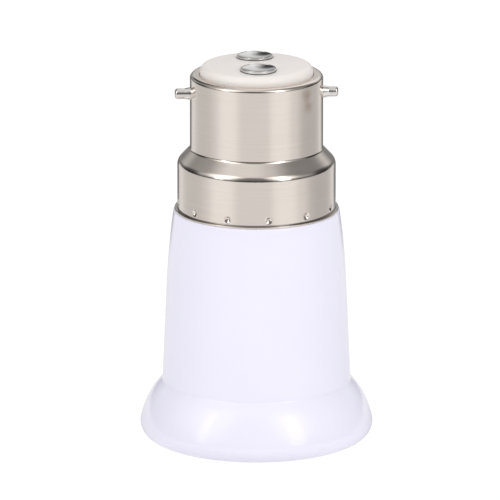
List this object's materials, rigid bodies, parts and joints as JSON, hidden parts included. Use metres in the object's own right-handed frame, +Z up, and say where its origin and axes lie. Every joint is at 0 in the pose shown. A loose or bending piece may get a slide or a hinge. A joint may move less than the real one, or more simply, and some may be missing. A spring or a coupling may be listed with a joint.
{
  "type": "lamp socket adapter",
  "caption": "Bayonet-cap to screw-socket lamp adapter: nickel cap with side pins and end contacts on a white flared housing with a screw shell and sprung centre contact.",
  "frame": {"origin": "middle of the bottom rim's plane, on the axis", "axes": "+Z up along the axis to the cap's end contacts, bayonet pins along X, end contacts along Y"},
  "size_m": [0.0386, 0.0386, 0.0638],
  "materials": {
    "white_moulding": "smooth moulded white, soft sheen",
    "shell_sheet": "nickel-plated brass sheet",
    "spring_bronze": "rolled phosphor bronze strip",
    "rivet_metal": "nickel-plated brass",
    "tag_metal": "tinned brass",
    "copper_core": "bare copper",
    "lead_sleeve": "silicone sleeve",
    "nickel_cap": "drawn brass sheet, satin nickel plate",
    "nickel_pin": "turned brass, nickel plate",
    "insulator_moulding": "glossy pale ivory grey moulding",
    "contact_metal": "bright nickel plate",
    "solder": "bright solder"
  },
  "bodies": {
    "root": {"housing": "white_moulding", "screw_shell": "shell_sheet", "centre_rivet": "rivet_metal", "shell_rivet_front": "rivet_metal", "shell_rivet_back": "rivet_metal", "centre_tag": "tag_metal", "shell_tag": "tag_metal", "centre_lead_core": "copper_core", "shell_lead_core": "copper_core", "centre_lead_sleeve": "lead_sleeve", "shell_lead_sleeve": "lead_sleeve", "cap_shell": "nickel_cap", "bayonet_pin_left": "nickel_pin", "bayonet_pin_right": "nickel_pin", "cap_insulator": "insulator_moulding", "contact_eyelet_front": "contact_metal", "contact_eyelet_back": "contact_metal", "contact_solder_front": "solder", "contact_solder_back": "solder"},
    "sprung_contact": {"centre_contact": "spring_bronze"}
  },
  "joints": [
    {"name": "contact_flex", "type": "hinge", "parent": "root", "child": "sprung_contact", "pos_m": [0.00248, 0, 0.0284], "axis": [0, 1, 0], "range_deg": [0, 12], "stiffness_Nm_per_rad": 0.14, "deforming": ["centre_contact"]}
  ]
}
